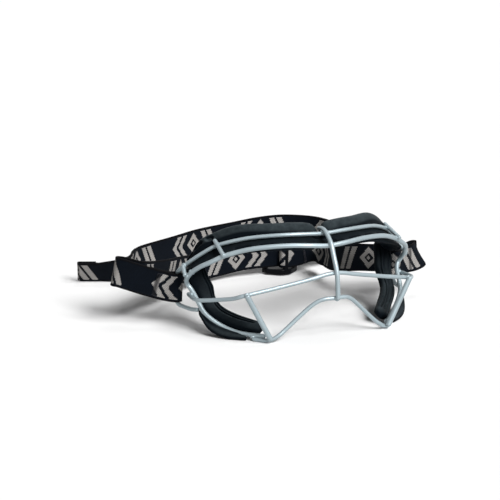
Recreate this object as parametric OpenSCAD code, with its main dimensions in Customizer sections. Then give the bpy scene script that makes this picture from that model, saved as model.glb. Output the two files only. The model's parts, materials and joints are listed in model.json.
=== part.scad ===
// Wire-mask sports goggles resting on a floor: welded wire mask, face pads,
// and a two-piece elastic head strap with one sliding buckle.
// Millimetres, +Z up. X = 0 is the mask's own middle, the front faces -Y and
// the floor is Z = 0. "right" and "left" are the wearer's own sides.

/* [Wire mask] */
// Distance from the middle to the side wires, centre to centre
half_width = 82; // [76:1:90]
// Height of the upper brow wire above the floor
brow_height = 67.6; // [62:0.4:74]
// Depth from the eye bar's middle to the strap bars
mask_depth = 65.3; // [60:0.1:72]
// Diameter of the lower brow, side, strut and middle wires
frame_wire = 3.2; // [2.6:0.1:3.6]
// Diameter of the upper brow wire and its strap loops
loop_wire = 2.8; // [2.4:0.1:3.2]
// Diameter of the eye bar, nose wire and short spacers
thin_wire = 2.8; // [2.4:0.1:3.2]

/* [Pads] */
// How far the brow pad stands back from the upper brow wire
brow_pad_depth = 13; // [10:0.5:16]
// Thickness of the cheek pads
cheek_pad_t = 6.5; // [5:0.5:8]

/* [Strap] */
// Width of the webbing
strap_w = 20; // [18:0.5:20.5]
// Thickness of the webbing
strap_t = 1.6; // [1.2:0.1:1.8]
// How far behind the eye bar the strap's far bend lies
strap_reach = 255; // [248:1:264]
// Space between the webbing and the slider's rails
slider_gap = 0.7; // [0.5:0.1:1]
// Height of each slider rail
slider_rail = 3.6; // [3:0.2:4]

/* [Hidden] */

wire_colour = [0.66, 0.74, 0.79];
pad_colour = [0.07, 0.08, 0.08];
web_colour = [0.05, 0.06, 0.11];
thread_colour = [0.10, 0.10, 0.12];
slider_colour = [0.04, 0.04, 0.05];

round_sides = 10;
bend_steps = 3;
strap_steps = 4;

// The points below were chosen by hand for this size of mask.
drawn_half_width = 82;
drawn_brow_height = 67.6;
drawn_depth = 65.3;

function on_mask(p) = [
    p[0] * half_width / drawn_half_width,
    p[1] * mask_depth / drawn_depth,
    p[2] * brow_height / drawn_brow_height
];
function mask_points(list) = [for (p = list) on_mask(p)];

// Curves

function unit(v) = v / norm(v);

// A smooth curve through four neighbouring points, between the middle two
function between(a, b, c, d, t) =
    0.5 * (2 * b + (c - a) * t + (2 * a - 5 * b + 4 * c - d) * t * t
        + (3 * b - a - 3 * c + d) * t * t * t);

function curve(p, steps) = [
    for (i = [0:len(p) - 2], s = [0:steps - 1])
        between(p[max(i - 1, 0)], p[i], p[i + 1], p[min(i + 2, len(p) - 1)], s / steps),
    p[len(p) - 1]
];

function flip(p) = [-p[0], p[1], p[2]];

// Both halves of a curve whose first point lies in the middle plane
function both_halves(p) = concat([for (i = [len(p) - 1:-1:1]) flip(p[i])], p);

function first3(v) = [v[0], v[1], v[2]];

function tangent(p, i) =
    unit(first3(p[min(i + 1, len(p) - 1)]) - first3(p[max(i - 1, 0)]));

function square_to(n, t) = unit(n - t * (n * t));

// One side direction per point, carried along the curve without twisting
function carried(p, start) = [
    for (i = 0, n = square_to(start, tangent(p, 0)); i < len(p);
        i = i + 1, n = square_to(n, tangent(p, min(i, len(p) - 1)))) n
];

function round_ring(c, n, b, r) = [
    for (k = [0:round_sides - 1])
        let (a = 360 * k / round_sides) c + r * (cos(a) * n + sin(a) * b)
];

// A closed skin over rings that all have the same number of points
module skin(rings) {
    m = len(rings[0]);
    last = (len(rings) - 1) * m;
    polyhedron(
        points = [for (ring = rings) each ring],
        faces = concat(
            [[for (j = [0:m - 1]) j]],
            [for (i = [0:len(rings) - 2], j = [0:m - 1])
                [i * m + j, (i + 1) * m + j, i * m + (j + 1) % m]],
            [for (i = [0:len(rings) - 2], j = [0:m - 1])
                [(i + 1) * m + j, (i + 1) * m + (j + 1) % m, i * m + (j + 1) % m]],
            [[for (j = [m - 1:-1:0]) last + j]]
        ),
        convexity = 8
    );
}

// A round wire along a smooth curve
module wire(p, d, steps = bend_steps) {
    c = curve(p, steps);
    n = carried(c, [0.31, 0.17, 0.93]);
    color(wire_colour)
        skin([for (i = [0:len(c) - 1]) round_ring(c[i], n[i], cross(tangent(c, i), n[i]), d / 2)]);
}

module straight_wire(a, b, d) {
    wire([a, b], d, 1);
}

// Flat webbing along a curve. Each station is x, y, z of the webbing's middle
// line, and how far its upper edge leans in x and in y for each mm of height.
function lean(s) = unit([s[3], s[4], 1]);

function web_ring(c, i, w, t, off) =
    let (
        across = square_to(lean(c[i]), tangent(c, i)) * w / 2,
        face = unit(cross(tangent(c, i), across)),
        m = first3(c[i]) + face * off,
        thick = face * t / 2
    ) [m - across - thick, m + across - thick, m + across + thick, m - across + thick];

// The stretch of webbing between two rings of a curve, or a layer beside it
module webbing(c, from, to, w = strap_w, t = strap_t, off = 0, tint = web_colour) {
    color(tint)
        skin([for (i = [from:to]) web_ring(c, i, w, t, off)]);
}

// Wire mask

upper_brow = mask_points([
    [0, 13.8, 67.6], [16, 14.8, 68.2], [30, 18.9, 67.8], [46, 28.5, 65.4],
    [58, 36.5, 61.8], [66.2, 42.5, 58], [74, 47.6, 52], [78.4, 52, 47.3], [81.2, 56.2, 43.3]
]);

// The strap bars are the loops' upright stretches, as long as the webbing
// that goes round them is wide.
left_bar = on_mask([84, 61.2, 27.6]);
right_bar = flip(left_bar);
bar_bend = 0.9;
bar_reach = [0, 0, strap_w / 2 - bar_bend];

strap_loop = concat(
    mask_points([[81.2, 56.2, 43.3], [82.6, 58.6, 41], [83.6, 60.4, 38.8]]),
    [left_bar + bar_reach, left_bar, left_bar - bar_reach],
    mask_points([
        [83.8, 60.6, 16.6], [83, 58.4, 15.6], [81.4, 54, 15.2], [79.8, 47.6, 15.3], [78.1, 40.6, 16.4]
    ])
);

lower_brow = mask_points([
    [0, 4.4, 61.5], [13, 5.1, 62.4], [26, 8.8, 62.8], [40, 14.6, 61.8], [52, 21, 59.6],
    [64.5, 28.3, 55.2], [72.5, 32.5, 50.8], [78.6, 37.6, 46.6], [82, 43.2, 42]
]);

side_and_rim = mask_points([
    [82, 43.2, 42], [83, 46.8, 38.2], [82.8, 49.8, 34.8], [81.3, 51, 31.6], [79.5, 49.6, 28.8],
    [78.2, 46.4, 25.2], [77.2, 41.7, 20.6], [75.4, 37, 15.2], [71, 31.9, 10.4],
    [65.8, 27, 6.8], [60, 21, 4.4], [54.4, 14.6, 3.7], [49.4, 8.8, 3.9], [46, 5, 4.1]
]);

eye_line = mask_points([
    [0, -4.1, 44.8], [20, -2.6, 41.4], [42, 1.2, 37], [61.8, 5, 33.3], [67, 11, 30.4],
    [73.4, 21.6, 27.6], [79, 28.8, 26], [82, 34, 25.2], [82.2, 41, 25], [80.6, 51, 25]
]);

nose_line = mask_points([
    [0, -6.5, 28.3], [6.5, -5.6, 28.2], [11.4, -4, 26.8], [17, -2.2, 22.9], [25.2, -0.4, 15.6],
    [33.5, 0.8, 8.2], [37.9, 0.9, 4.9], [42, 2, 2.5],
    [46.4, 3.9, 1.6], [49.4, 7.2, 1.5], [52.4, 10.8, 1.5]
]);

bar_line = mask_points([
    [0, 20.6, 69.4], [0, 16, 70.4], [0, 11.2, 69.7], [0, 6.2, 66.6], [0, 1.8, 62.2], [0, -1.8, 55.4],
    [0, -5.2, 49.2], [0, -7.2, 43.8], [0, -8.4, 36], [0, -9.2, 28]
]);

strut_top = on_mask([61.8, 2.2, 34.4]);
strut_foot = on_mask([44.4, -0.1, 2.6]);

module strap_loop_wire() wire(strap_loop, loop_wire);

module side_wire() wire(side_and_rim, frame_wire);

module strut() straight_wire(strut_foot, strut_top, frame_wire);

// A short wire laid across both brow wires, its upper end standing proud
module brow_spacer() {
    straight_wire(on_mask([67, 26, 55.4]), on_mask([65, 44.6, 62]), thin_wire);
}

module temple_spacer() {
    straight_wire(on_mask([83, 55, 43.6]), on_mask([85.3, 46.4, 39]), thin_wire);
}

// Pads

// Outline of the brow pad across its length: [back from the upper wire, up]
brow_pad_profile = [
    [-8.6, -7.8], [-7.4, -5.8], [-2.6, -3.4], [1.6, -1.2], [2, 1.2], [3.6, 3.6],
    [brow_pad_depth * 0.56, 6.4], [brow_pad_depth * 0.84, 6], [brow_pad_depth, 3.6],
    [brow_pad_depth * 1.02, -1], [brow_pad_depth * 0.92, -5.4], [brow_pad_depth * 0.6, -7.8],
    [2, -8.4], [-4.6, -8.6]
];

brow_pad_stations = mask_points([
    [0, 13.4, 64.2], [5, 13.7, 64.4], [7.5, 14, 66.6], [16, 15, 67.6], [30, 19.1, 67.4],
    [46, 28.7, 65.2], [58, 36.7, 61.6], [66, 42.5, 57.8], [73.2, 47.9, 52.2],
    [77, 52.4, 47.4], [79.2, 57.2, 42.6]
]);
// How much of the profile's size is left at each station. The first two make
// the notch behind the centre bar.
brow_pad_size = [0.58, 0.6, 0.95, 1, 1, 1, 1, 0.98, 0.88, 0.72, 0.5];

function pad_ring(p, i, size) =
    let (
        t = tangent(p, i),
        back = unit(cross([0, 0, 1], t)),
        up = cross(t, back)
    ) [
        for (k = [len(brow_pad_profile) - 1:-1:0])
            let (q = brow_pad_profile[k]) p[i] + size * (q[0] * back + q[1] * up)
    ];

module brow_pad() {
    centre = curve(both_halves(brow_pad_stations), 2);
    half = len(brow_pad_size) - 1;
    sizes = curve(concat([for (i = [half:-1:1]) [brow_pad_size[i], 0, 0]],
        [for (s = brow_pad_size) [s, 0, 0]]), 2);
    color(pad_colour)
        skin([for (i = [0:len(centre) - 1]) pad_ring(centre, i, sizes[i][0])]);
}

// The cheek pad lies behind the side wire and the rim, from the temple down.
// The outer edge follows the wire and the inner edge frames the eye.
cheek_outer = mask_points([
    [77.4, 60, 40.4], [78.6, 56.4, 33.4], [76.2, 52.8, 27], [73.8, 46.6, 20],
    [71.6, 41.6, 14.4], [66.8, 36, 10], [61, 29.4, 7], [55, 21.6, 5.6], [49.8, 14.6, 5.2]
]);
cheek_inner = mask_points([
    [66.2, 58.4, 42], [64.6, 54.2, 35], [62.8, 49.8, 28.8], [63.2, 46, 22.8],
    [62.2, 40.6, 18.6], [59, 35, 15.8], [53.8, 28.4, 13.4], [48.8, 22.4, 11.8], [44.2, 16.8, 10.4]
]);

// A flattened oval between an outer and an inner edge point. Squareness 1 is a
// plain ellipse, and a lower value has fuller corners.
pad_sides = 14;
pad_squareness = 0.7;

function fuller(v) = sign(v) * pow(abs(v), pad_squareness);

function oval_ring(o, q, t, thick) =
    let (
        mid = (o + q) / 2,
        reach = (o - q) / 2,
        deep = unit(cross(t, reach)) * thick / 2
    ) [
        for (k = [0:pad_sides - 1])
            let (a = 360 * k / pad_sides) mid + reach * fuller(cos(a)) + deep * fuller(sin(a))
    ];

module cheek_pad() {
    outer = curve(cheek_outer, 2);
    inner = curve(cheek_inner, 2);
    middle = (outer + inner) / 2;
    color(pad_colour)
        skin([
            for (i = [0:len(outer) - 1])
                oval_ring(outer[i], inner[i], tangent(middle, i), cheek_pad_t)
        ]);
}

// The bumper is the pad's outer lip, hung under the rim wire.
bumper_t = 3;
bumper_upper = mask_points([
    [77.2, 40.4, 15.6], [74.4, 35.2, 10.6], [69.8, 30, 6.8], [64.4, 24.6, 4.4],
    [59.4, 19, 2.8], [56.4, 15.6, 2.2]
]);
bumper_lower = mask_points([
    [78, 38.2, 13], [75.8, 31.6, 6.2], [72, 25, 2.8], [66.6, 19.4, 1.2],
    [60.8, 14.8, 1.1], [57, 12, 1.4]
]);

module cheek_bumper() {
    upper = curve(bumper_upper, 2);
    lower = curve(bumper_lower, 2);
    middle = (upper + lower) / 2;
    color(pad_colour)
        skin([
            for (i = [0:len(upper) - 1])
                oval_ring(upper[i], lower[i], tangent(middle, i), bumper_t)
        ]);
}

// Head strap

wrap_gap = 0.7;
wrap_r = loop_wire / 2 + strap_t / 2 + wrap_gap;

// A station beside a strap bar: out along the strap, over to one side, and
// how far it rises above the bar's middle
function beside(bar, dir, out, over, rise = 0, lx = 0, ly = 0) = [
    bar[0] + out * dir[0] - over * dir[1],
    bar[1] + out * dir[1] + over * dir[0],
    bar[2] + rise,
    lx,
    ly
];

front_dir = [-0.9, 0.436];

// The long strap. The front stretch is sewn round the right bar, runs out
// and turns back behind itself.
function on_front(out, over, rise = 0, lx = 0, ly = 0) =
    beside(right_bar, front_dir, out, over, rise, lx, ly);

front_part = [
    on_front(21, -0.9, 4, 0.2, -0.1),
    on_front(10, -0.95, 1, 0.14, -0.06),
    on_front(4, -2.2, 0.1),
    on_front(0, -wrap_r),
    on_front(-wrap_r, 0),
    on_front(0, wrap_r),
    on_front(4, 2.2, 0.1),
    on_front(10, 0.95, 1, 0.14, -0.06),
    on_front(21, 0.9, 4, 0.24, -0.1),
    on_front(31, 1.4, 7.2, 0.26, -0.12),
    on_front(38, 1.6, 9.4, 0.26, -0.12)
];

// Slider: two end bars behind the webbing, and a middle bar in front of it
// that carries the short strap's sewn loop.
slider_x = 47;
slider_y = 159.5;
slider_z = 16;
bar_t = 2.4;
bar_len = 3.2;
slider_len = 27;
web_gap = 0.3;
end_bar_y = strap_t / 2 + web_gap;
loop_inner_y = -(strap_t + web_gap);
mid_bar_y = loop_inner_y - strap_t / 2 - web_gap - bar_t;
loop_outer_y = mid_bar_y - web_gap - strap_t / 2;
slider_inside = strap_w + 2 * slider_gap;

// The rear stretch falls away behind, then runs straight through the slider.
rear_part = [
    on_front(41.4, 0.2, 9.8, 0.22, -0.1),
    on_front(42.6, -3, 9.6, 0.16, -0.08),
    on_front(41.2, -6.2, 9.2, 0.1, -0.06),
    on_front(37, -7.8, 8.4, 0.1, -0.1),
    on_front(26, -9.8, 5.4, 0.16, -0.14),
    [-82, 98, 26.8, 0.14, 0.14],
    [-60, 118, 22, 0.1, 0.12],
    [-38, 140, 18.4, 0, 0],
    [-18, 153, 16.4, 0, 0],
    [1, 158.2, 16, 0, 0],
    [slider_x - 34, slider_y, slider_z, 0, 0],
    [slider_x - 27, slider_y, slider_z, 0, 0],
    [slider_x, slider_y, slider_z, 0, 0],
    [slider_x + 14, slider_y, slider_z, 0, 0],
    [slider_x + 17, slider_y, slider_z, 0, 0],
    [slider_x + 24, slider_y + 0.8, slider_z + 1.6, 0, 0],
    [86, 165, 16.6, 0, 0],
    [104, 177, 12.4, 0, 0]
];

// The far stretch stands on its lower edge on the floor.
on_floor = strap_w / 2;

function by_far_bend(x, before, rise = 0) = [x, strap_reach - before, on_floor + rise, 0, 0];

far_part = [
    by_far_bend(115, 60, 0.7),
    by_far_bend(122.5, 39, 0.1),
    by_far_bend(117.5, 15),
    by_far_bend(98, 0),
    by_far_bend(76, 0),
    by_far_bend(49, 8),
    by_far_bend(17, 18),
    by_far_bend(-12, 33),
    by_far_bend(-45, 50),
    by_far_bend(-55, 58)
];

// The free tail leans over towards the front, just clear of the floor. A
// narrow gap at its root is where it swings.
tail_lift = 0.4;

function leaning(x, before, lx, ly) =
    let (slope = norm([lx, ly]), rise = (strap_w + strap_t * slope) / 2 / norm([slope, 1]))
    [x, strap_reach - before, rise + tail_lift, lx, ly];

tail_part = [
    leaning(-55.5, 58.6, 0, 0),
    leaning(-60.5, 65.5, -0.02, -0.02),
    leaning(-64.6, 72.6, -0.04, -0.06),
    leaning(-70.4, 76, 0, -0.26),
    leaning(-78, 75, 0.04, -0.54),
    leaning(-88, 71, 0.06, -0.78),
    leaning(-91, 69.7, 0.06, -0.8),
    leaning(-102, 64.8, 0.06, -0.82)
];

long_curve = curve(concat(front_part, rear_part, far_part), strap_steps);
front_last = (len(front_part) - 1) * strap_steps;
rear_last = front_last + len(rear_part) * strap_steps;
far_last = rear_last + len(far_part) * strap_steps;
tail_curve = curve(tail_part, strap_steps);
tail_last = (len(tail_part) - 1) * strap_steps;

// The short strap's sewn loop goes round the slider's middle bar. Its two
// layers come together beside the bar.
loop_half = bar_len / 2 + 0.1;
loop_end = loop_half + strap_t;
loop_corner = 1.1;
joined_y = (loop_inner_y + loop_outer_y) / 2 + 0.2;
joined_off = strap_t / 2 + 0.1;

function by_slider(x, y, rise = 0) = [slider_x + x, slider_y + y, slider_z + rise, 0, 0];

loop_part = [
    by_slider(18.6, joined_y + joined_off, 2),
    by_slider(16, joined_y + joined_off, 1.5),
    by_slider(12, joined_y + joined_off + 0.1, 0.6),
    by_slider(loop_half, loop_inner_y),
    by_slider(-loop_half, loop_inner_y),
    by_slider(-loop_end, loop_inner_y - loop_corner),
    by_slider(-loop_end, loop_outer_y + loop_corner),
    by_slider(-loop_half, loop_outer_y),
    by_slider(loop_half, loop_outer_y),
    by_slider(12, joined_y - joined_off - 0.4, 0.6),
    by_slider(19, joined_y - joined_off, 2.1)
];

// From the slider it rises to the left bar, passes behind it and folds back.
left_dir = [0.94, 0.34];

function on_short(out, over, rise = 0, lx = 0) = beside(left_bar, left_dir, out, over, rise, lx);

function by_left_bar(x, y, rise, lx = 0, ly = 0) =
    [left_bar[0] + x, left_bar[1] + y, left_bar[2] + rise, lx, ly];

short_part = [
    by_slider(24, -6.9, 3.2),
    by_slider(26.4, -13.5, 3.6),
    by_slider(24, -24.5, 4.4),
    [66.6, 119, 23, 0, 0],
    [66.4, 104, 26.2, 0, 0],
    by_left_bar(-13, 28.8, 1),
    by_left_bar(-5, 16.8, 1.4),
    by_left_bar(6, 10.8, 1, -0.12),
    by_left_bar(16, 9.2, 1.8, -0.4),
    by_left_bar(23, 11.4, 2.4, -0.66, -0.1),
    by_left_bar(26, 10.8, 2.6, -0.74, -0.12),
    by_left_bar(24.8, 7.6, 2.4, -0.7, -0.12),
    by_left_bar(17.6, 3.2, 1.8, -0.4, -0.06),
    on_short(10, -1, 1, -0.1),
    on_short(4, -2.2, 0.1),
    on_short(0, -wrap_r),
    on_short(-wrap_r, 0),
    on_short(0, wrap_r),
    on_short(4, 2.2, 0.1),
    on_short(12, 0.9, 1.2, -0.1)
];

short_curve = curve(concat(loop_part, short_part), strap_steps);
loop_last = (len(loop_part) - 1) * strap_steps;
short_last = loop_last + len(short_part) * strap_steps;

// The turned hem and the bar tacks are thin layers lying on the webbing.
hem_t = 1.2;
hem_w = strap_w - 0.6;
tack_t = 0.5;
layer_gap = 0.03;
hem_off = (strap_t + hem_t) / 2 + layer_gap;
tack_off = (strap_t + tack_t) / 2 + layer_gap;
tack_w = strap_w * 0.8;

front_tack_at = 7 * strap_steps + 1;
short_tack_at = short_last - 7 * strap_steps + 1;
loop_tack_at = loop_last - strap_steps + 1;

// Slider frame

module slider_bar(x, y) {
    translate([x - bar_len / 2, y, -slider_inside / 2 - slider_rail / 2])
        cube([bar_len, bar_t, slider_inside + slider_rail]);
}

// Seen from above, each rail bows forward from the end bars to the middle bar.
rail_shoulder = 1;
rail_edge = 1.2;
rail_nose = 0.4;

module slider_rail_shape() {
    end = slider_len / 2;
    nose = bar_len / 2 + rail_shoulder;
    half = [
        [nose, mid_bar_y],
        [nose * 1.6, mid_bar_y + rail_nose],
        [end - rail_shoulder, end_bar_y - rail_edge],
        [end, end_bar_y + bar_t]
    ];
    linear_extrude(height = slider_rail)
        polygon(concat(half, [for (i = [len(half) - 1:-1:0]) [-half[i][0], half[i][1]]]));
}

module slider_frame() {
    color(slider_colour)
        translate([slider_x, slider_y, slider_z]) {
            slider_bar(-slider_len / 2 + bar_len / 2, end_bar_y);
            slider_bar(slider_len / 2 - bar_len / 2, end_bar_y);
            slider_bar(0, mid_bar_y);
            translate([0, 0, slider_inside / 2])
                slider_rail_shape();
            translate([0, 0, -slider_inside / 2 - slider_rail])
                slider_rail_shape();
        }
}

module tail_hem() {
    webbing(tail_curve, tail_last - strap_steps, tail_last, hem_w, hem_t, hem_off);
}

// A bar tack: a short block of stitches across the webbing
module tack(c, at, side) {
    webbing(c, at, at + 1, tack_w, tack_t, side * tack_off, thread_colour);
}

// The part is drawn about the middle of its floor area.
long_points = [for (i = [0:far_last]) each web_ring(long_curve, i, strap_w, strap_t, 0)];
bar_points = [for (p = bar_line) p[1] - frame_wire / 2];
middle_x = (max([for (p = long_points) p[0]]) + min([for (p = long_points) p[0]])) / 2;
middle_y = (max([for (p = long_points) p[1]]) + min(bar_points)) / 2;

module placed() translate([-middle_x, -middle_y, 0]) children();
module on_left() placed() children();
module on_right() placed() mirror([1, 0, 0]) children();

placed() wire(both_halves(upper_brow), loop_wire);  // upper_brow_wire
on_right() strap_loop_wire();  // right_strap_loop
on_left() strap_loop_wire();  // left_strap_loop
placed() wire(both_halves(lower_brow), frame_wire);  // lower_brow_wire
on_right() side_wire();  // right_side_wire
on_left() side_wire();  // left_side_wire
placed() wire(both_halves(eye_line), thin_wire);  // eye_bar
placed() wire(both_halves(nose_line), thin_wire);  // nose_wire
placed() wire(bar_line, frame_wire);  // centre_bar
on_right() strut();  // right_strut
on_left() strut();  // left_strut
on_right() brow_spacer();  // right_brow_spacer
on_left() brow_spacer();  // left_brow_spacer
on_right() temple_spacer();  // right_temple_spacer
on_left() temple_spacer();  // left_temple_spacer
placed() brow_pad();
on_right() cheek_pad();  // right_cheek_pad
on_left() cheek_pad();  // left_cheek_pad
on_right() cheek_bumper();  // right_cheek_bumper
on_left() cheek_bumper();  // left_cheek_bumper
placed() webbing(long_curve, 0, front_last);  // front_strap
placed() webbing(long_curve, front_last, rear_last);  // rear_strap
placed() webbing(long_curve, rear_last, far_last);  // far_strap
placed() webbing(tail_curve, 0, tail_last);  // strap_tail
placed() tail_hem();
placed() webbing(short_curve, loop_last, short_last);  // short_strap
placed() webbing(short_curve, 0, loop_last);  // slider_loop
placed() slider_frame();
placed() tack(long_curve, front_tack_at, -1);  // front_strap_tack
placed() tack(short_curve, short_tack_at, -1);  // short_strap_tack
placed() tack(short_curve, loop_tack_at, 1);  // slider_loop_tack
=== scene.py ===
"""Dresses the sports goggles' CAD frame: painted wire mask, moulded pads, woven head strap, slider."""

import json
import math

import bmesh
import bpy
import numpy as np
from bpy.props import FloatProperty, FloatVectorProperty, IntProperty, PointerProperty
from mathutils import Matrix, Vector


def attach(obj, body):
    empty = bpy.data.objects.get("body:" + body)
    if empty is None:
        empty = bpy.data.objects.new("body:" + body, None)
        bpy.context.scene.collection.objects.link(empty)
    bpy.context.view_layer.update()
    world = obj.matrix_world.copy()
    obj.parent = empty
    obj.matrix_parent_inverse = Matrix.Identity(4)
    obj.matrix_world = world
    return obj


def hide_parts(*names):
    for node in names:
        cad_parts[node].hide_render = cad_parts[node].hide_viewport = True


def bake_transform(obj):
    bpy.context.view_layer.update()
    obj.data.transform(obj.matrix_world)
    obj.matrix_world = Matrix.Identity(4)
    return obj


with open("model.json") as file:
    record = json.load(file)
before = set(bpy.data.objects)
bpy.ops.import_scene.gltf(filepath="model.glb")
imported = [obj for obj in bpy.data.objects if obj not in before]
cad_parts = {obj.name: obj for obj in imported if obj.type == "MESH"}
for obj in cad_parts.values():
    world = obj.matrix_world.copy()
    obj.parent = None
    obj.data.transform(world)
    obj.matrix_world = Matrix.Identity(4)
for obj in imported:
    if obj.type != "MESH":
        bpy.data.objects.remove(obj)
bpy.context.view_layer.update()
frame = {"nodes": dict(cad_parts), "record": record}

bl_info = {
    "name": "Wire Mask Goggles",
    "version": (1, 0, 0),
    "blender": (4, 5, 0),
    "location": "3D View > Sidebar > Goggles",
    "description": "Wire mask, moulded pads, woven strap and slider for sports goggles",
    "category": "Object",
}

MM = 0.001

# Corners of a CAD mesh nearer than this are one point, and corners this near to a plane lie in it
SAME_POINT = 2e-6
SAME_PLANE = 4e-6

# Corners in one ring of each kind of CAD skin
WIRE_SIDES = 10
PAD_SIDES = 14
WEB_SIDES = 4

# Bodies of the part's motion
CAGE = "cage"
SLIDER = "slider"
TAIL = "tail"

WIRES = (
    "upper_brow_wire", "right_strap_loop", "left_strap_loop",
    "lower_brow_wire", "right_side_wire", "left_side_wire",
    "eye_bar", "nose_wire", "centre_bar", "right_strut", "left_strut",
    "right_brow_spacer", "left_brow_spacer",
    "right_temple_spacer", "left_temple_spacer",
)

# Wire ends nearer than this carry on into each other
TOUCHING = 0.1 * MM

# Extra points close to a wire's ends, in radii from the end
CLOSE_POINTS = (0, 0.04, 0.12, 0.25, 0.42, 0.6, 0.9)

# A weld bead's height beside the wire's radius
WELD_HEIGHT = 0.8

# Air slots in the brow pad in millimetres: each front slot's x and length, and each end vent's x
FRONT_SLOTS = ((-52, 9), (-38, 9), (-23, 10), (-8, 9), (9, 9), (24, 10), (39, 9), (53, 9))
END_VENTS = (-77, -72.5, -66.5, 66.5, 72.5, 77)

# Grooves in each cheek pad: place across it from the outer edge, and width
GROOVES = {
    "right": ((0.66, 0.03), (0.84, 0.045)),
    "left": ((0.3, 0.035), (0.52, 0.035), (0.74, 0.035)),
}

# How much less of the film of dust and painted highlight the cheek pads and bumpers get, which keeps them
# darker
CHEEK_FILM_CUT = 0.4

# Webbing: its width, where its plain edge starts from the middle line, and its threads' widths
WEB_EDGE = 8.9 * MM
WARP = 0.8 * MM
WEFT = 1.3 * MM

# Seams across the tail's hem: places along it, and how far they reach beside its half width
HEM_SEAMS = (0.12, 0.62, 0.86)
SEAM_REACH = 0.86

# Lengths of the two slow waves that make the webbing's edges uneven
RIPPLES = (13.7 * MM, 31.1 * MM)

# Each lamp: how far its shadows fall away from the camera and to the right for each
# unit of height, and its share of the floor's light
LAMPS = {
    "front_lamp": (1.15, -0.75, 0.58),
    "right_lamp": (0.5, -0.7, 0.32),
    "high_lamp": (-0.3, -0.2, 0.1),
}

# The floor's colour, how far it reaches in metres, and how much it glows to the camera
FLOOR_GREY = 0.87
FLOOR_REACH = 8
FLOOR_GLOW = 0.02


# Settings

def length_setting(name, about, usual, least, most):
    """A length, given in millimetres and kept in metres."""
    return FloatProperty(name=name, description=about, default=usual * MM, min=least * MM,
                         max=most * MM, unit="LENGTH")


def angle_setting(name, about, usual):
    """An angle, given in degrees."""
    return FloatProperty(name=name, description=about, default=math.radians(usual), subtype="ANGLE")


def share_setting(name, about, usual, least, most):
    return FloatProperty(name=name, description=about, default=usual, min=least, max=most,
                         subtype="FACTOR")


def count_setting(name, about, usual, least, most):
    return IntProperty(name=name, description=about, default=usual, min=least, max=most)


def colour_setting(name, about, usual):
    return FloatVectorProperty(name=name, description=about, default=usual, subtype="COLOR", size=3)


class WireSettings(bpy.types.PropertyGroup):
    paint: colour_setting("Paint", "Colour of the wire's satin paint", (0.27, 0.33, 0.355))
    end_rounding: share_setting(
        "End Rounding", "How much of a wire's radius its cut ends are rounded by", 0.55, 0.05, 1)
    sides: count_setting("Sides", "Faces round a wire", 20, 8, 48)
    strut_size: share_setting(
        "Strut Size", "How much thicker the struts look than the other wires", 1.15, 1, 1.3)
    weld_size: share_setting("Weld Size", "Size of a weld's bead beside the wire's radius", 1.35, 1, 2)


class PadSettings(bpy.types.PropertyGroup):
    rubber: colour_setting("Rubber", "Colour of the moulded pads", (0.003, 0.0046, 0.0064))
    groove_depth: length_setting(
        "Groove Depth", "Depth of the grooves moulded into the cheek pads", 1.5, 0, 2)
    tuck: length_setting(
        "Tuck", "How far a cheek pad's outer edge reaches under the rim wire", 2.2, 0, 3)
    lip_rise: length_setting(
        "Lip Rise", "How far a bumper's upper edge laps over the rim wire", 1.4, 0, 2)
    crest: length_setting(
        "Crest", "How far the brow pad swells beyond its plain form near its ends", 2, 0, 3)
    slot_depth: length_setting("Slot Depth", "Depth of the air slots in the brow pad", 1.6, 0, 3)


class WebbingSettings(bpy.types.PropertyGroup):
    ground: colour_setting("Ground", "Colour of the webbing's ground weave", (0.0014, 0.0032, 0.0062))
    edge: colour_setting("Edge", "Colour of the woven edges", (0.002, 0.002, 0.0025))
    mark: colour_setting("Mark", "Colour of the woven marks", (0.47, 0.45, 0.43))
    mark_pitch: length_setting(
        "Mark Pitch", "Distance from one woven mark to the next in a group", 18, 12, 30)
    group_length: length_setting(
        "Group Length", "Distance from one group of marks to the next", 72, 60, 140)
    sag: length_setting("Sag", "How far the straps hang down between their ends", 2.6, 0, 4)
    thread: length_setting("Thread", "Diameter of the sewing thread", 0.4, 0.2, 0.8)


class SliderSettings(bpy.types.PropertyGroup):
    plastic: colour_setting("Plastic", "Colour of the slider", (0.002, 0.0025, 0.0035))
    fullness: FloatVectorProperty(
        name="Fullness", description="How much fuller the moulded slider is than its plain frame",
        default=(1.03, 1.45, 1.05), subtype="XYZ", size=3)
    roundness: count_setting(
        "Roundness", "How many times the slider's surface is smoothed", 14, 0, 60)


class StageSettings(bpy.types.PropertyGroup):
    lens: FloatProperty(
        name="Lens", description="Camera's focal length", default=151.5, min=20, max=400, unit="CAMERA")
    distance: length_setting("Distance", "From the camera to the mask", 1400, 500, 5000)
    turn: angle_setting("Turn", "Camera's angle round the mask", -27)
    height: angle_setting("Height", "Camera's angle above the floor", 14)
    roll: angle_setting("Roll", "Camera's tilt to one side", 1.2)
    brightness: share_setting("Brightness", "Light that all the lamps together give the floor", 1, 0, 2)
    lamp_spread: angle_setting(
        "Lamp Spread", "How broad each lamp looks from the object, which softens shadows", 22)
    sky: share_setting("Sky", "Strength of the plain light from all sides", 0, 0, 1)


# Reading the CAD solids

def flat_patch(start):
    """The faces joined to start that lie in its plane."""
    origin, normal = start.verts[0].co, start.normal
    patch, rest = {start}, [start]
    while rest:
        for edge in rest.pop().edges:
            for face in edge.link_faces:
                flat = all(abs((v.co - origin).dot(normal)) < SAME_PLANE for v in face.verts)
                if flat and face not in patch:
                    patch.add(face)
                    rest.append(face)
    return patch


def rim_of(patch):
    """The corners round a patch of faces, in order."""
    edges = {e for f in patch for e in f.edges if sum(g in patch for g in e.link_faces) == 1}
    edges = sorted(edges, key=lambda e: e.index)
    rim = list(edges[0].verts)
    while True:
        steps = [e.other_vert(rim[-1]) for e in edges if rim[-1] in e.verts]
        steps = [v for v in steps if v not in rim]
        if not steps:
            return rim
        rim.append(steps[0])


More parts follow.
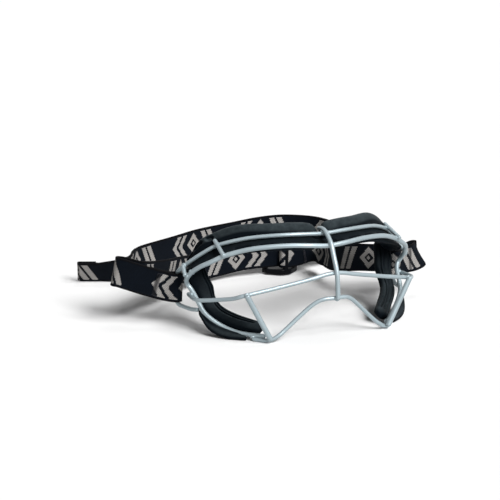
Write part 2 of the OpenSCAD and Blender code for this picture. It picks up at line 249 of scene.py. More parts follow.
def rings_after(ring, total):
    """Every ring of a skin, walking on from its end ring, or None if the walk fails."""
    sides = len(ring)
    seen, rings = set(ring), [ring]
    while len(seen) < total:
        last = rings[-1]
        around = [{e.other_vert(v) for e in v.link_edges} - seen for v in last]
        shared_corners = [around[j] & around[(j + 1) % sides] for j in range(sides)]
        if any(len(s) != 1 for s in shared_corners):
            return None
        ring = [s.pop() for s in shared_corners]
        turns = [ring[k:] + ring[:k] for k in (0, 1, -1)]
        ring = min(turns, key=lambda r: sum((a.co - b.co).length for a, b in zip(r, last)))
        rings.append(ring)
        seen |= set(ring)
    return rings


def node_mesh(name):
    """A CAD node's mesh to read or reshape, with its doubled corners joined."""
    mesh = bmesh.new()
    mesh.from_mesh(frame["nodes"][name].data)
    bmesh.ops.remove_doubles(mesh, verts=mesh.verts, dist=SAME_POINT)
    return mesh


def node_rings(name, sides):
    """A lofted CAD solid as an array of rings, each of the same number of points."""
    mesh = node_mesh(name)
    mesh.edges.index_update()
    mesh.normal_update()
    for face in mesh.faces:
        patch = flat_patch(face)
        if len(patch) != sides - 2:
            continue
        rim = rim_of(patch)
        rings = rings_after(rim, len(mesh.verts)) if len(rim) == sides else None
        if rings:
            points = np.array([[v.co[:] for v in ring] for ring in rings])
            mesh.free()
            return points
    raise RuntimeError(f"{name} is not a skin of {sides}-sided rings")


def starting_near(rings, other):
    """The same rings, turned end for end if need be so that they start nearer to other."""
    ends = [np.linalg.norm(rings[k].mean(0) - other) for k in (0, -1)]
    return rings if ends[0] <= ends[1] else rings[::-1]


# Curves and skins

def smooth(points, places, closed=False):
    """Points of the smooth curve through the given points, at places counted in points."""
    count = len(points)
    first = np.floor(places).astype(int)
    if not closed:
        first = np.clip(first, 0, count - 2)
    t = (places - first).reshape((-1,) + (1,) * (points.ndim - 1))

    def at(offset):
        return points[(first + offset) % count if closed else np.clip(first + offset, 0, count - 1)]

    a, b, c, d = at(-1), at(0), at(1), at(2)
    return 0.5 * (2 * b + (c - a) * t + (2 * a - 5 * b + 4 * c - d) * t ** 2
                  + (3 * b - a - 3 * c + d) * t ** 3)


def lengths_along(points):
    """How far along a path each of its points is."""
    steps = np.linalg.norm(np.diff(points, axis=0), axis=1)
    return np.concatenate([[0], np.cumsum(steps)])


def even_places(points, spacing):
    """Places, counted in points, that lie evenly along a path."""
    along = lengths_along(points)
    wanted = np.linspace(0, along[-1], max(2, round(along[-1] / spacing) + 1))
    return np.interp(wanted, along, np.arange(len(points)))


def unit(v):
    return v / np.maximum(np.linalg.norm(v, axis=-1, keepdims=True), 1e-12)


def step(value, low, high):
    """0 below low, 1 above high, and a smooth rise between."""
    t = np.clip((value - low) / (high - low), 0, 1)
    return t * t * (3 - 2 * t)


def swell(value, middle, width):
    """1 at middle, and a smooth fall on both sides that is about as wide as width."""
    return np.exp(-((value - middle) / width) ** 2)


def grid_normals(grid):
    """Outward normals of a closed skin given as rings of points."""
    along = np.gradient(grid, axis=0)
    around = np.roll(grid, -1, 1) - np.roll(grid, 1, 1)
    normals = unit(np.cross(along, around))
    outward = grid - grid.mean(1, keepdims=True)
    return normals * np.sign((normals * outward).sum())


def skin_mesh(name, grid, web_place=None):
    """A closed mesh over rings of points, with a middle point at each end.
    web_place gives each point's place across and along the webbing, for a UV map."""
    rings, sides = grid.shape[:2]
    ends = [grid[0].mean(0), grid[-1].mean(0)]
    points = np.concatenate([grid.reshape(-1, 3), ends])
    i, j = np.meshgrid(np.arange(rings - 1), np.arange(sides), indexing="ij")
    k = (j + 1) % sides
    corners = [i * sides + j, (i + 1) * sides + j, (i + 1) * sides + k, i * sides + k]
    faces = np.stack(corners, -1).reshape(-1, 4).tolist()
    last = (rings - 1) * sides
    for n in range(sides):
        faces.append([rings * sides, n, (n + 1) % sides])
        faces.append([rings * sides + 1, last + (n + 1) % sides, last + n])
    mesh = bpy.data.meshes.new(name)
    mesh.from_pydata(points.tolist(), [], faces)
    if web_place is not None:
        middles = [web_place[0].mean(0), web_place[-1].mean(0)]
        place = np.concatenate([web_place.reshape(-1, 2), middles])
        corner = np.empty(len(mesh.loops), int)
        mesh.loops.foreach_get("vertex_index", corner)
        uv = mesh.uv_layers.new(name="web")
        uv.data.foreach_set("uv", place[corner].astype(np.float32).ravel())
    shaped = bmesh.new()
    shaped.from_mesh(mesh)
    if shaped.calc_volume(signed=True) < 0:
        bmesh.ops.reverse_faces(shaped, faces=shaped.faces)
    shaped.to_mesh(mesh)
    shaped.free()
    return mesh


def add_object(name, data):
    """A new object in the scene."""
    added = bpy.data.objects.new(name, data)
    bpy.context.scene.collection.objects.link(added)
    return added


def add_piece(name, mesh, material, body=None, nodes=(), smooth_below=50):
    """A finished piece, shaded smooth below an angle, with its material, the CAD nodes that it stands for
    hidden, and the body that it rides on."""
    piece = add_object(name, mesh)
    mesh.shade_smooth()
    mesh.set_sharp_from_angle(angle=math.radians(smooth_below))
    mesh.materials.clear()
    mesh.materials.append(material)
    if nodes:
        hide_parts(*nodes)
    if body:
        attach(piece, body)
    return piece


# Node trees

class Term:
    """A value in a node tree that can be used in plain sums."""

    def __init__(self, tree, socket):
        self.tree, self.socket = tree, socket

    def sum(self, operation, *others):
        node = self.tree.nodes.new("ShaderNodeMath")
        node.operation = operation
        connect(self.tree, node, dict(enumerate((self, *others))))
        return Term(self.tree, node.outputs[0])

    def __add__(self, other):
        return self.sum("ADD", other)

    def __sub__(self, other):
        return self.sum("SUBTRACT", other)

    def __mul__(self, other):
        return self.sum("MULTIPLY", other)

    def __truediv__(self, other):
        return self.sum("DIVIDE", other)

    def __abs__(self):
        return self.sum("ABSOLUTE")

    def floor(self):
        return self.sum("FLOOR")

    def sin(self):
        return self.sum("SINE")

    def below(self, other):
        return self.sum("LESS_THAN", other)

    def above(self, other):
        return self.sum("GREATER_THAN", other)

    def most(self, other):
        return self.sum("MAXIMUM", other)

    def least(self, other):
        return self.sum("MINIMUM", other)

    def wrapped(self, length):
        """The remainder after whole lengths, never negative."""
        return self.sum("WRAP", length, 0.0)


def connect(tree, node, inputs):
    """Gives a node's inputs sockets or terms to link, or plain values."""
    for key, value in inputs.items():
        if isinstance(value, Term):
            value = value.socket
        if isinstance(value, bpy.types.NodeSocket):
            tree.links.new(value, node.inputs[key])
        else:
            node.inputs[key].default_value = value


def add_node(tree, kind, inputs=None, **settings):
    """A node with its settings, and its inputs as connect takes them."""
    node = tree.nodes.new(kind)
    for key, value in settings.items():
        setattr(node, key, value)
    connect(tree, node, inputs or {})
    return node


def outputs_of(tree, node):
    """A node's outputs by name, for use in sums."""
    return {socket.name: Term(tree, socket) for socket in node.outputs}


def new_tree(name, kind, inputs, outputs):
    """A node tree and its inputs by name. Inputs are (name, type, default), outputs (name, type)."""
    tree = bpy.data.node_groups.new(name, kind)
    for label, sort, usual in inputs:
        socket = tree.interface.new_socket(label, in_out="INPUT", socket_type="NodeSocket" + sort)
        if usual is not None:
            socket.default_value = usual
    for label, sort in outputs:
        tree.interface.new_socket(label, in_out="OUTPUT", socket_type="NodeSocket" + sort)
    return tree, outputs_of(tree, tree.nodes.new("NodeGroupInput"))


def shared(build):
    """The node tree that a function builds, named after the function and made only once."""
    name = build.__name__.replace("_", " ").capitalize()
    if name not in bpy.data.node_groups:
        build(name)
    return bpy.data.node_groups[name]


def shape_tree(name, source, *inputs):
    """A Geometry Nodes tree that makes a shape of one material from its source."""
    return new_tree(name, "GeometryNodeTree",
                    [(source, "Geometry", None), *inputs, ("Material", "Material", None)],
                    [("Geometry", "Geometry")])


def finish_shape(tree, given, made):
    """Ends a shape's tree: instances made real, and the material given."""
    real = add_node(tree, "GeometryNodeRealizeInstances", {"Geometry": made.outputs[0]})
    painted = add_node(tree, "GeometryNodeSetMaterial",
                       {"Geometry": real.outputs[0], "Material": given["Material"]})
    add_node(tree, "NodeGroupOutput", {"Geometry": painted.outputs[0]})


def modelled(name, source, build, values):
    """Runs a shape's tree on a curve or mesh and returns the result as a plain mesh."""
    maker = add_object(name + "_source", source)
    modifier = maker.modifiers.new("Shape", "NODES")
    modifier.node_group = shared(build)
    for item in modifier.node_group.interface.items_tree:
        if item.item_type == "SOCKET" and item.in_out == "INPUT" and item.name in values:
            modifier[item.identifier] = values[item.name]
    bpy.context.view_layer.update()
    return plain_mesh(name, maker)


def plain_mesh(name, maker):
    """The mesh that an object's modifiers make. The object is removed."""
    shaped = maker.evaluated_get(bpy.context.evaluated_depsgraph_get())
    mesh = bpy.data.meshes.new_from_object(shaped)
    mesh.name = name
    bpy.data.objects.remove(maker)
    return mesh


def path_curve(name, paths, sizes=None):
    """A curve of straight pieces through each list of points, with each point's share of full size."""
    curve = bpy.data.curves.new(name, "CURVE")
    curve.dimensions = "3D"
    for number, path in enumerate(paths):
        spline = curve.splines.new("POLY")
        spline.points.add(len(path) - 1)
        flat = np.concatenate([path, np.ones((len(path), 1))], 1)
        spline.points.foreach_set("co", flat.astype(np.float32).ravel())
        if sizes:
            spline.points.foreach_set("radius", sizes[number].astype(np.float32))
    return curve


def round_wire(name):
    """Sweeps a circle along a smooth curve, sized by the curve's own radius."""
    tree, given = shape_tree(
        name, "Curve", ("Radius", "Float", 1.6 * MM), ("Sides", "Int", 16), ("Smooth Steps", "Int", 4))
    kind = add_node(tree, "GeometryNodeCurveSplineType", {"Curve": given["Curve"]},
                    spline_type="CATMULL_ROM")
    fine = add_node(tree, "GeometryNodeSetSplineResolution",
                    {"Geometry": kind.outputs[0], "Resolution": given["Smooth Steps"]})
    ring = add_node(tree, "GeometryNodeCurvePrimitiveCircle",
                    {"Resolution": given["Sides"], "Radius": given["Radius"]})
    size = tree.nodes.new("GeometryNodeInputRadius")
    tube = add_node(tree, "GeometryNodeCurveToMesh",
                    {"Curve": fine.outputs[0], "Profile Curve": ring.outputs[0],
                     "Scale": size.outputs[0], "Fill Caps": True})
    finish_shape(tree, given, tube)


def weld_beads(name):
    """Lays a flattened bead at each point, turned and sized by the point's own values."""
    tree, given = shape_tree(name, "Points", ("Detail", "Int", 3))
    bead = add_node(tree, "GeometryNodeMeshIcoSphere", {"Radius": 1.0, "Subdivisions": given["Detail"]})

    def value_of(label):
        node = add_node(tree, "GeometryNodeInputNamedAttribute", {"Name": label}, data_type="FLOAT_VECTOR")
        return node.outputs["Attribute"]

    facing = add_node(tree, "FunctionNodeEulerToRotation", {"Euler": value_of("turn")})
    laid = add_node(tree, "GeometryNodeInstanceOnPoints",
                    {"Points": given["Points"], "Instance": bead.outputs["Mesh"],
                     "Rotation": facing.outputs[0], "Scale": value_of("size")})
    finish_shape(tree, given, laid)


def zigzag_thread(name):
    """Turns each straight line into a zigzag of thread: every second point goes to the other side."""
    tree, given = shape_tree(
        name, "Curve", ("Pitch", "Float", 0.5 * MM), ("Reach", "Vector", (1 * MM, 0, 0)),
        ("Thread", "Float", 0.4 * MM))
    points = add_node(tree, "GeometryNodeResampleCurve",
                      {"Curve": given["Curve"], "Length": given["Pitch"]}, mode="LENGTH")
    number = Term(tree, tree.nodes.new("GeometryNodeInputIndex").outputs[0])
    side = number.wrapped(2.0) * 2.0 - 1.0
    offset = add_node(tree, "ShaderNodeVectorMath", {0: given["Reach"], "Scale": side}, operation="SCALE")
    moved = add_node(tree, "GeometryNodeSetPosition",
                     {"Geometry": points.outputs[0], "Offset": offset.outputs[0]})
    ring = add_node(tree, "GeometryNodeCurvePrimitiveCircle",
                    {"Resolution": 6, "Radius": given["Thread"] * 0.5})
    tube = add_node(tree, "GeometryNodeCurveToMesh",
                    {"Curve": moved.outputs[0], "Profile Curve": ring.outputs[0], "Fill Caps": True})
    finish_shape(tree, given, tube)


def running_stitches(name):
    """Lays one short stitch after another along each curve."""
    tree, given = shape_tree(name, "Curve", ("Pitch", "Float", 2.4 * MM), ("Thread", "Float", 0.4 * MM))
    points = add_node(tree, "GeometryNodeResampleCurve",
                      {"Curve": given["Curve"], "Length": given["Pitch"]}, mode="LENGTH")
    bead = add_node(tree, "GeometryNodeMeshUVSphere", {"Segments": 8, "Rings": 6, "Radius": 0.5})
    run = tree.nodes.new("GeometryNodeInputTangent")
    facing = add_node(tree, "FunctionNodeAlignRotationToVector", {"Vector": run.outputs[0]}, axis="Z")
    stitch_share = 0.82
    size = add_node(tree, "ShaderNodeCombineXYZ",
                    {"X": given["Thread"], "Y": given["Thread"], "Z": given["Pitch"] * stitch_share})
    laid = add_node(tree, "GeometryNodeInstanceOnPoints",
                    {"Points": points.outputs[0], "Instance": bead.outputs["Mesh"],
                     "Rotation": facing.outputs[0], "Scale": size.outputs[0]})
    finish_shape(tree, given, laid)


# Shader groups

def mixed(tree, amount, first, second):
    """A colour from first to second by amount."""
    mix = add_node(tree, "ShaderNodeMix", {0: amount, 6: first, 7: second}, data_type="RGBA")
    return mix.outputs[2]


def noise(tree, place, scale, detail, roughness):
    """Smooth random values, as a term."""
    node = add_node(tree, "ShaderNodeTexNoise",
                    {"Vector": place, "Scale": scale, "Detail": detail, "Roughness": roughness})
    return Term(tree, node.outputs[0])


def fine_grain(name):
    """Fine bumps and slow cloudy change, for paint, rubber, webbing, plastic and floor."""
    tree, given = new_tree(
        name, "ShaderNodeTree",
        [("Vector", "Vector", None), ("Grain", "Float", 3000.0), ("Clouds", "Float", 60.0)],
        [("Height", "Float"), ("Cloud", "Float")])
    add_node(tree, "NodeGroupOutput", {
        "Height": noise(tree, given["Vector"], given["Grain"], detail=2.0, roughness=0.6),
        "Cloud": noise(tree, given["Vector"], given["Clouds"], detail=4.0, roughness=0.55)})


def dust_and_wear(name):
    """A thin film on faces that look up, partly dust and partly a painted highlight of the light from
    above, less where the handled attribute is high, and rubbed edges.
    """
    tree, given = new_tree(
        name, "ShaderNodeTree",
        [("Vector", "Vector", None), ("Color", "Color", (0.5, 0.5, 0.5, 1)),
         ("Dust", "Color", (0.5, 0.48, 0.45, 1)), ("Amount", "Float", 0.05),
         ("Wear", "Float", 0.1), ("Worn", "Color", (0.7, 0.7, 0.7, 1))],
        [("Color", "Color")])
    film_from, film_rise = 0.42, 1.75
    worn_from, worn_rise = 0.52, 9.0
    surface = outputs_of(tree, tree.nodes.new("ShaderNodeNewGeometry"))
    facing = outputs_of(tree, add_node(tree, "ShaderNodeSeparateXYZ", {0: surface["Normal"]}))
    spots = noise(tree, given["Vector"], scale=220.0, detail=5.0, roughness=0.7)
    handled = outputs_of(tree, add_node(tree, "ShaderNodeAttribute", attribute_name="handled"))["Fac"]
    # The film on faces that look up is partly dust and partly a painted highlight of the light from above
    upward = ((facing["Z"] - film_from) * film_rise).most(0.0)
    film = upward * (handled * -1.0 + 1.0) * spots * given["Amount"]
    with_dust_and_sheen = mixed(tree, film, given["Color"], given["Dust"])
    sharp = ((surface["Pointiness"] - worn_from) * worn_rise).most(0.0)
    rubbed = (sharp * spots * given["Wear"]).least(1.0)
    add_node(tree, "NodeGroupOutput", {"Color": mixed(tree, rubbed, with_dust_and_sheen, given["Worn"])})


def webbing_weave(name):
    """Ribs of warp thread with a weft crossing under and over, in the webbing's own metres."""
    tree, given = new_tree(
        name, "ShaderNodeTree",
        [("Across", "Float", 0.0), ("Along", "Float", 0.0), ("Warp", "Float", WARP),
         ("Weft", "Float", WEFT)],
        [("Height", "Float"), ("Gap", "Float")])
    rib = given["Across"] / given["Warp"]
    pick = given["Along"] / given["Weft"]
    crown = abs((rib * math.pi).sin())
    over = ((pick + rib.floor() * 0.5) * (2 * math.pi)).sin() * 0.5 + 0.5
    lowest = 0.45
    height = crown * (over * (1 - lowest) + lowest)
    add_node(tree, "NodeGroupOutput", {"Height": height, "Gap": height * -1.0 + 1.0})


def woven_marks(name):
    """Groups of plain woven marks: two slanted bars, a diamond with a dot and two chevrons.
    Their edges step from thread to thread."""
    tree, given = new_tree(
        name, "ShaderNodeTree",
        [("Across", "Float", 0.0), ("Along", "Float", 0.0), ("Pitch", "Float", 18 * MM),
         ("Group", "Float", 72 * MM), ("Thread", "Float", WARP)],
        [("Mark", "Float")])

    def in_threads(value):
        return ((value / given["Thread"]).floor() + 0.5) * given["Thread"] / given["Pitch"]

    # Everything below is in pitches
    y = in_threads(given["Across"])
    x = in_threads(given["Along"].wrapped(given["Group"]))
    half_height = 0.44
    high = abs(y).below(half_height)

    def slanted_bar(middle, lean=0.5, half_width=0.115):
        return abs(x - middle - y * lean).below(half_width)

    def chevron(tip, lean=0.8, half_width=0.12):
        return abs(x + abs(y) * lean - tip).below(half_width)

    bars = (slanted_bar(0.32) + slanted_bar(0.68)) * high
    chevrons = (chevron(2.42) + chevron(2.82)) * high
    diamond_place, diamond_squeeze = 1.5, 0.95
    dot_reach, inner_reach, outer_reach = 0.09, 0.2, 0.42
    reach = abs(x - diamond_place) + abs(y) * diamond_squeeze
    diamond = reach.below(outer_reach) * reach.above(inner_reach) + reach.below(dot_reach)
    add_node(tree, "NodeGroupOutput", {"Mark": (bars + diamond + chevrons).least(1.0)})


# Materials

def new_material(name):
    """A material with only its shader and output, and the place of each point of the object."""
    material = bpy.data.materials.new(name)
    material.use_nodes = True
    tree = material.node_tree
    tree.nodes.clear()
    shader = tree.nodes.new("ShaderNodeBsdfPrincipled")
    add_node(tree, "ShaderNodeOutputMaterial", {"Surface": shader.outputs[0]})
    return material, tree, shader, tree.nodes.new("ShaderNodeTexCoord").outputs["Object"]


def add_bump(tree, shader, height, distance, strength=1.0):
    bump = add_node(tree, "ShaderNodeBump",
                    {"Height": height, "Distance": distance, "Strength": strength})
    connect(tree, shader, {"Normal": bump.outputs[0]})


def varied(tree, amount, colour, least, most):
    """A colour from least to most of its strength by amount."""
    darkest, lightest = ((*(c * factor for c in colour), 1) for factor in (least, most))
    return mixed(tree, amount, darkest, lightest)


def use_group(tree, build, inputs):
    """Puts a shared group into a tree and returns its outputs by name."""
    return outputs_of(tree, add_node(tree, "ShaderNodeGroup", inputs, node_tree=shared(build)))


def wire_paint(look):
    """Satin silver-blue paint over the welded wire."""
    material, tree, shader, place = new_material("Satin wire paint")
    grain = use_group(tree, fine_grain, {"Vector": place, "Grain": 2400.0, "Clouds": 70.0})
    worn = use_group(tree, dust_and_wear, {
        "Vector": place, "Color": varied(tree, grain["Cloud"], look.paint, least=0.86, most=1.14),
        "Dust": (0.5, 0.52, 0.54, 1), "Amount": 0.1, "Wear": 0.15, "Worn": (0.72, 0.76, 0.8, 1)})
    connect(tree, shader, {
        "Base Color": worn["Color"], "Roughness": grain["Cloud"] * 0.16 + 0.34, "Metallic": 0.4,
        "Coat Weight": 0.15, "Coat Roughness": 0.1})
    add_bump(tree, shader, grain["Height"], distance=0.03 * MM, strength=0.6)
    return material


def pad_rubber(look):
    """Moulded black rubber with a fine grain, and a film on faces that look up that is partly dust and
    partly a painted highlight of the light from above.
    """
    material, tree, shader, place = new_material("Moulded rubber")
    grain = use_group(tree, fine_grain, {"Vector": place, "Grain": 2600.0, "Clouds": 45.0})
    # The grey film on the pads' upper faces is partly dust and partly a painted highlight of the light
    # from above
    with_dust_and_sheen = use_group(tree, dust_and_wear, {
        "Vector": place, "Color": varied(tree, grain["Cloud"], look.rubber, least=0.7, most=1.35),
        "Dust": (0.1, 0.125, 0.135, 1), "Amount": 0.75, "Wear": 0.15, "Worn": (0.04, 0.05, 0.055, 1)})
    connect(tree, shader, {
        "Base Color": with_dust_and_sheen["Color"], "Roughness": grain["Cloud"] * 0.2 + 0.34,
        "Specular IOR Level": 0.012})
    add_bump(tree, shader, grain["Height"], distance=0.05 * MM, strength=0.7)
    return material


def webbing_cloth(look, name, shift):
    """Woven elastic webbing: navy ground, black edges and light woven marks, moved by shift."""
    material, tree, shader, object_place = new_material(name)
    grain = use_group(tree, fine_grain, {"Vector": object_place, "Grain": 1500.0, "Clouds": 90.0})
    web_place = add_node(tree, "ShaderNodeUVMap", uv_map="web").outputs[0]
    place = outputs_of(tree, add_node(tree, "ShaderNodeSeparateXYZ", {0: web_place}))
    across, along = place["X"], place["Y"]
    weave = use_group(tree, webbing_weave, {"Across": across, "Along": along, "Warp": WARP, "Weft": WEFT})
    marks = use_group(tree, woven_marks, {
        "Across": across, "Along": along + shift, "Pitch": look.mark_pitch,
        "Group": look.group_length, "Thread": WARP})
    ground = varied(tree, grain["Cloud"], look.ground, least=0.6, most=1.5)
    yarn = varied(tree, grain["Height"], look.mark, least=0.6, most=1.25)

    # The marks fade a little in the gaps between the threads, as painted shade
    shaded_marks = marks["Mark"] * (weave["Gap"] * -0.5 + 1.05).least(1.0)
    patterned = mixed(tree, shaded_marks, ground, yarn)
    edged = mixed(tree, abs(across).above(WEB_EDGE), patterned, (*look.edge, 1))
    # Painted shade darkens the gaps between the threads
    gap_shade_colour, gap_shade = (0.002, 0.002, 0.003, 1), 0.55
    connect(tree, shader, {
        "Base Color": mixed(tree, weave["Gap"] * gap_shade, edged, gap_shade_colour),
        "Roughness": grain["Height"] * 0.2 + 0.68, "Specular IOR Level": 0.05})
    threads = weave["Height"] + grain["Height"] * 0.25
    add_bump(tree, shader, threads, distance=0.16 * MM, strength=0.9)
    return material


def sewing_thread():
    """Dark polyester thread with a twisted look."""
    material, tree, shader, place = new_material("Sewing thread")
    twist = add_node(tree, "ShaderNodeTexWave",
                     {"Vector": place, "Scale": 900.0, "Distortion": 3.0, "Detail": 1.0}).outputs["Fac"]
    connect(tree, shader, {
        "Base Color": mixed(tree, twist, (0.008, 0.008, 0.012, 1), (0.035, 0.035, 0.045, 1)),
        "Roughness": 0.5, "Sheen Weight": 0.1})
    add_bump(tree, shader, twist, distance=0.04 * MM)
    return material


def slider_plastic(look):
    """Black moulded plastic with rubbed edges and fine scratches."""
    material, tree, shader, place = new_material("Slider plastic")
    stretched = add_node(tree, "ShaderNodeMapping", {"Vector": place, "Scale": (40, 900, 300)})
    scratch = noise(tree, stretched.outputs[0], scale=1.0, detail=3.0, roughness=0.5)
    grain = use_group(tree, fine_grain, {"Vector": place, "Grain": 1800.0, "Clouds": 80.0})
    worn = use_group(tree, dust_and_wear, {
        "Vector": place, "Color": varied(tree, grain["Cloud"], look.plastic, least=0.7, most=1.3),
        "Dust": (0.1, 0.1, 0.1, 1), "Amount": 0.05, "Wear": 0.3, "Worn": (0.06, 0.06, 0.07, 1)})
    connect(tree, shader, {
        "Base Color": worn["Color"], "Roughness": scratch * 0.2 + 0.25,
        "Specular IOR Level": 0.06})
    add_bump(tree, shader, grain["Height"], distance=0.02 * MM, strength=0.5)
    return material


# Wire mask

def wire_path(rings):
    """A wire's middle line, with a few close points at each end, and its radius."""
    middle = rings.mean(1)
    radius = np.linalg.norm(rings - middle[:, None], axis=2).mean()
    if len(middle) == 2:
        straight_points = 6
        middle = smooth(middle, np.linspace(0, 1, straight_points))
    near = radius * np.array(CLOSE_POINTS)[:, None]
    head = middle[0] + near * unit(middle[1] - middle[0])
    foot = middle[-1] + near[::-1] * unit(middle[-2] - middle[-1])
    return np.concatenate([head, middle[1:-1], foot]), radius


def wire_paths():
    """Each wire's middle line and radius."""
    return {node: wire_path(node_rings(node, WIRE_SIDES)) for node in WIRES}


def end_sizes(path, radius, rounding, free):
    """How much of its full radius the wire has at each point: less at a free, cut end."""
    sizes = np.ones(len(path))
    for end, cut in ((0, free[0]), (-1, free[1])):
        if cut:
            inward = np.linalg.norm(path - path[end], axis=1) / (rounding * radius)
            lift = np.sqrt(1 - (1 - np.minimum(inward, 1)) ** 2)
            sizes = np.minimum(sizes, 1 - rounding * (1 - lift))
    return sizes


def is_free(point, name, wires):
    """Whether no other wire carries on from this wire's end."""
    others = [path[k] for other, (path, _) in wires.items() if other != name for k in (0, -1)]
    return min(np.linalg.norm(point - other) for other in others) > TOUCHING


class GOGGLES_OT_wires(bpy.types.Operator):
    """Make the mask's painted wires along the CAD wires' middle lines"""
    bl_idname = "goggles.wires"
    bl_label = "Wires"

    def execute(self, context):
        look = context.scene.goggles_wire
        paint = wire_paint(look)
        wires = wire_paths()
        for node, (path, radius) in wires.items():
            free = [is_free(path[end], node, wires) for end in (0, -1)]
            sizes = end_sizes(path, radius, look.end_rounding, free)
            name = "painted_" + node
            full = radius * (look.strut_size if node.endswith("strut") else 1)
            mesh = modelled(name, path_curve(name, [path], [sizes]), round_wire, {
                "Radius": float(full), "Sides": look.sides, "Smooth Steps": 3, "Material": paint})
            add_piece(name, mesh, paint, CAGE, [node])
        return {"FINISHED"}


def closest(first, second):
    """Where two paths come closest: both points and both directions."""
    far = np.linalg.norm(first[:, None] - second[None], axis=2)
    i, j = np.unravel_index(far.argmin(), far.shape)
    runs = [unit(path[min(k + 1, len(path) - 1)] - path[max(k - 1, 0)])
            for path, k in ((first, i), (second, j))]
    return first[i], second[j], runs


class GOGGLES_OT_welds(bpy.types.Operator):
    """Lay a weld bead wherever two wires are joined"""
    bl_idname = "goggles.welds"
    bl_label = "Weld Beads"

    def execute(self, context):
        look = context.scene.goggles_wire
        bead = np.array([look.weld_size, look.weld_size, WELD_HEIGHT])
        wires = wire_paths()
        paths = {node: smooth(path, even_places(path, spacing=0.25 * MM))
                 for node, (path, _) in wires.items()}
        places, turns, sizes = [], [], []
        for pair in frame["record"]["behaviour"]["press_fits"]:
            names = [name for name in WIRES if name in str(pair)]
            if len(names) != 2:
                continue
            a, b, runs = closest(paths[names[0]], paths[names[1]])
            apart = b - a if np.linalg.norm(b - a) > TOUCHING else np.cross(runs[0], runs[1])
            through = unit(apart)
            run = unit(runs[0] - through * (runs[0] @ through))
            turn = Matrix(np.column_stack([run, np.cross(through, run), through]).tolist()).to_euler()
            places.append(((a + b) / 2).tolist())
            turns.append(turn[:])
            sizes.append(bead * (wires[names[0]][1] + wires[names[1]][1]) / 2)
        points = bpy.data.meshes.new("weld_points")
        points.from_pydata(places, [], [])
        for label, values in (("turn", turns), ("size", sizes)):
            attribute = points.attributes.new(label, "FLOAT_VECTOR", "POINT")
            attribute.data.foreach_set("vector", np.array(values, np.float32).ravel())
        paint = bpy.data.materials["Satin wire paint"]
        mesh = modelled("weld_beads", points, weld_beads, {"Detail": 3, "Material": paint})
        add_piece("weld_beads", mesh, paint, CAGE, smooth_below=180)
        return {"FINISHED"}


# Pads

def rounded_ends(grid, reach, steps):
    """The same rings with a rounded cap beyond each end."""
    angles = np.linspace(0, math.pi / 2, steps + 1)[1:-1]
    caps = []
    for end, inner in ((grid[0], grid[1]), (grid[-1], grid[-2])):
        middle = end.mean(0)
        out = unit(middle - inner.mean(0))
        caps.append([middle + (end - middle) * math.cos(a) + out * reach * math.sin(a) for a in angles])
    return np.concatenate([np.array(caps[0])[::-1], grid, np.array(caps[1])])


def pad_grid(rings, spacing, around):
    """A pad's skin, finely divided along and around."""
    along = smooth(rings, even_places(rings.mean(1), spacing))
    places = np.linspace(0, rings.shape[1], around, endpoint=False)
    return smooth(along.swapaxes(0, 1), places, closed=True).swapaxes(0, 1)


def turned_to(rings, start):
    """The rings with each one's points renumbered from start, going round by the front."""
    rings = np.roll(rings, -start, axis=1)
    if rings[:, 1, 1].mean() > rings[:, -1, 1].mean():
        rings = np.roll(rings[:, ::-1], 1, axis=1)
    return rings


def outer_first(rings):
    """Oval rings renumbered from their outer edge."""
    ring = rings[len(rings) // 2]
    far = np.linalg.norm(ring[:, None] - ring[None], axis=2)
    ends = np.unravel_index(far.argmax(), far.shape)
    return turned_to(rings, max(ends, key=lambda k: abs(ring[k, 0])))


def slot_mask(along, around, place, level, length, height):
    """1 inside a rounded slot on a pad's skin, with soft edges, in metres."""
    beside = np.maximum(np.abs(along - place) - (length - height) / 2, 0)
    far = np.hypot(beside, around - level)
    return 1 - step(far, height / 2 - 0.25 * MM, height / 2 + 0.35 * MM)


def add_pad(node, grid, cap, handled, cap_steps=5):
    """A moulded pad for a CAD pad, with rounded ends that reach out by cap.
    Film_cut gives how much less of the film of dust and painted highlight each side of it gets."""
    name = "moulded_" + node
    mesh = skin_mesh(name, rounded_ends(grid, cap, cap_steps))
    values = handled[np.arange(len(mesh.vertices)) % len(handled)].astype(np.float32)
    mesh.attributes.new("handled", "FLOAT", "POINT").data.foreach_set("value", values)
    rubber = bpy.data.materials["Moulded rubber"]
    piece = add_piece(name, mesh, rubber, CAGE, [node], smooth_below=180)


